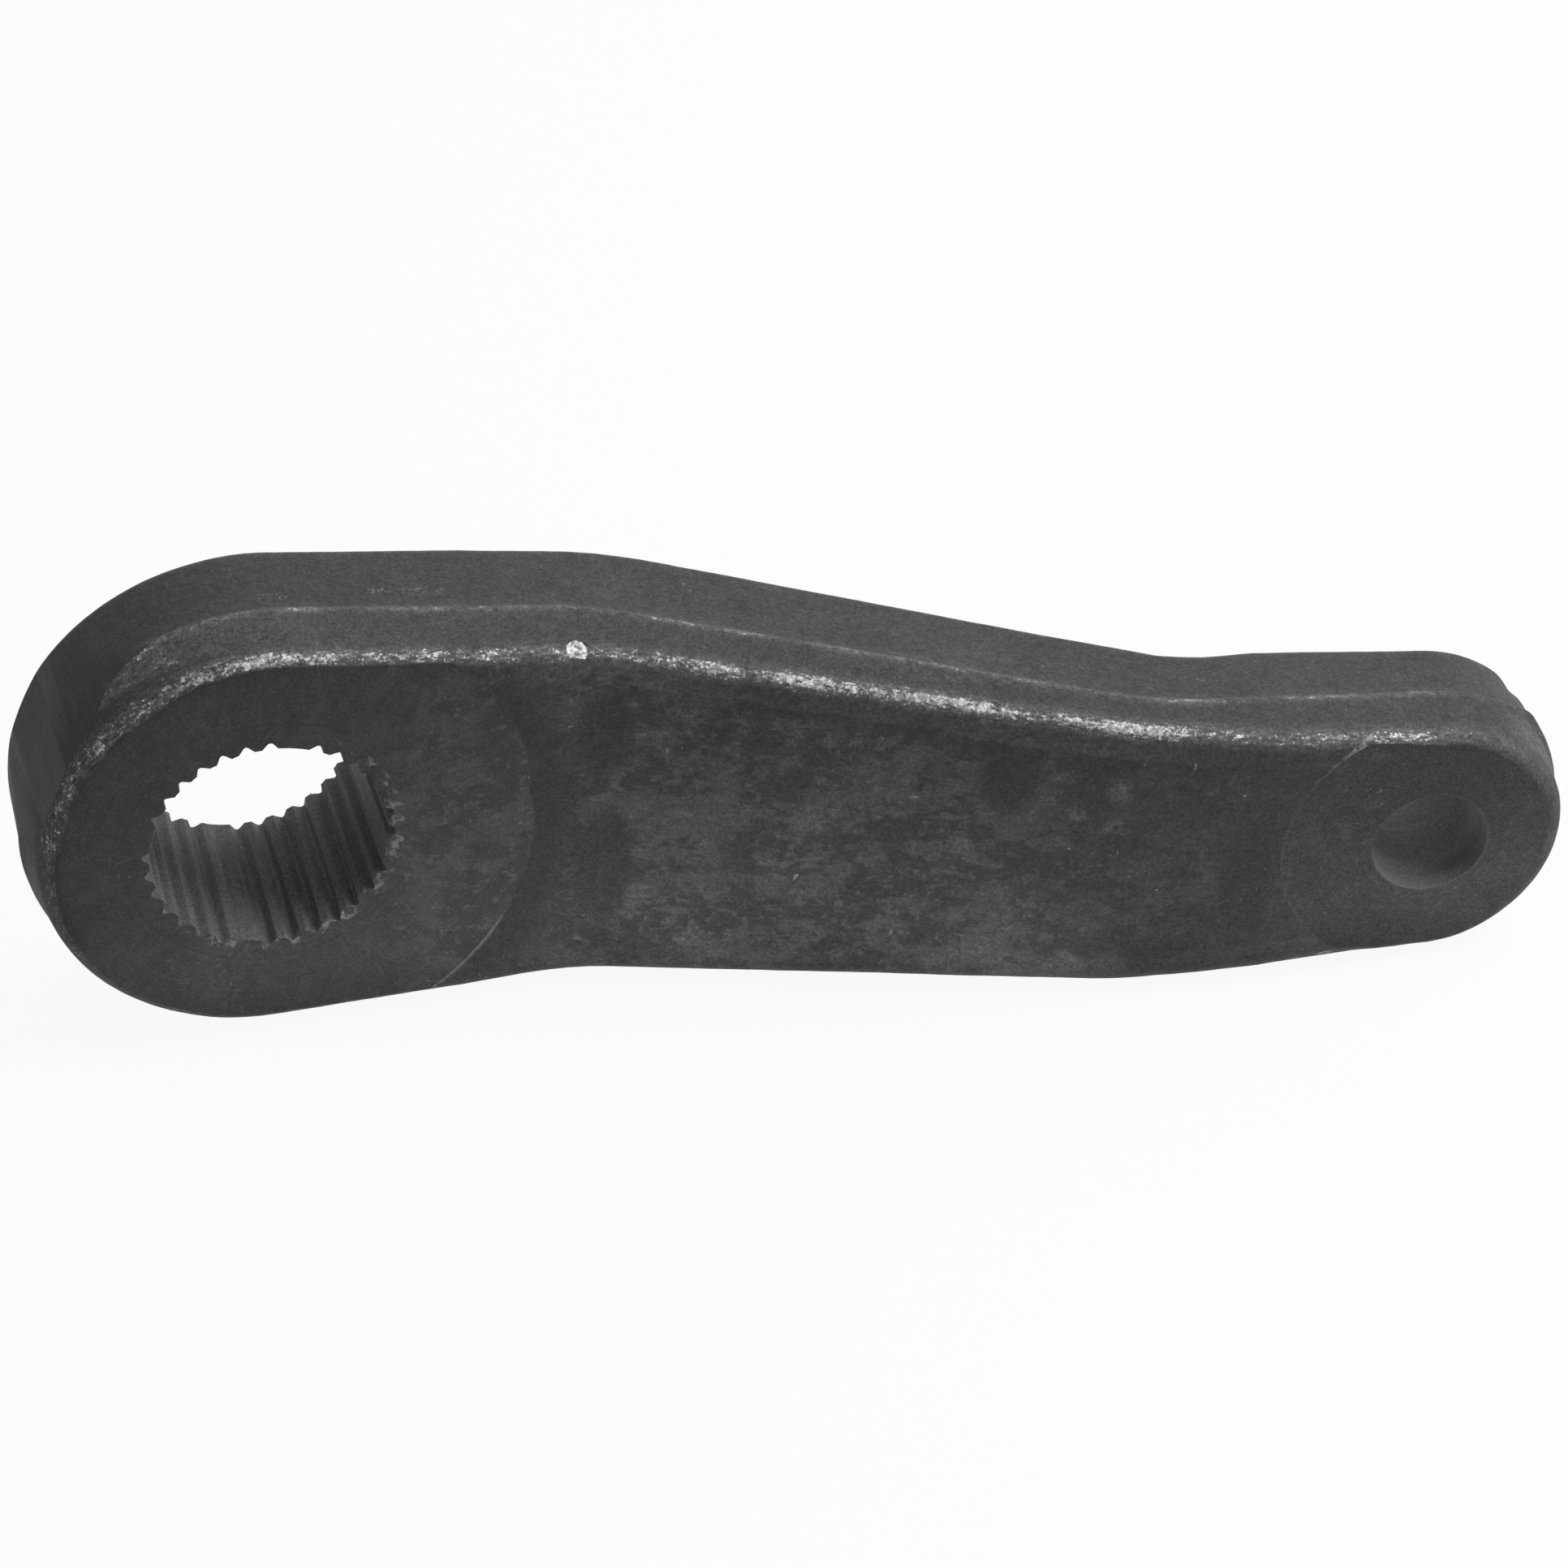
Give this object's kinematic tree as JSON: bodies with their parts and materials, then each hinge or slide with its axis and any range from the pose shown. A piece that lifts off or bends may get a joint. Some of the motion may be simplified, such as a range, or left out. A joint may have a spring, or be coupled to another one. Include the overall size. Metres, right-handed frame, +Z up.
{
  "type": "pitman arm",
  "caption": "Forged steering arm with a splined eye for the gear shaft, a joggled tapering web and a small eye with a tapered ball-stud hole.",
  "frame": {"origin": "centre of the splined bore in the milled front face of the big eye", "axes": "+Z up with the lower long edge level, +X along the arm from the splined eye to the small eye, +Y along the bores from the front face to the back face"},
  "size_m": [0.2036, 0.0442, 0.0646],
  "materials": {
    "forged_steel": "dark scaled forging skin, matte, with bright rubbed edges"
  },
  "bodies": {
    "root": {"pitman_arm": "forged_steel"}
  },
  "joints": []
}
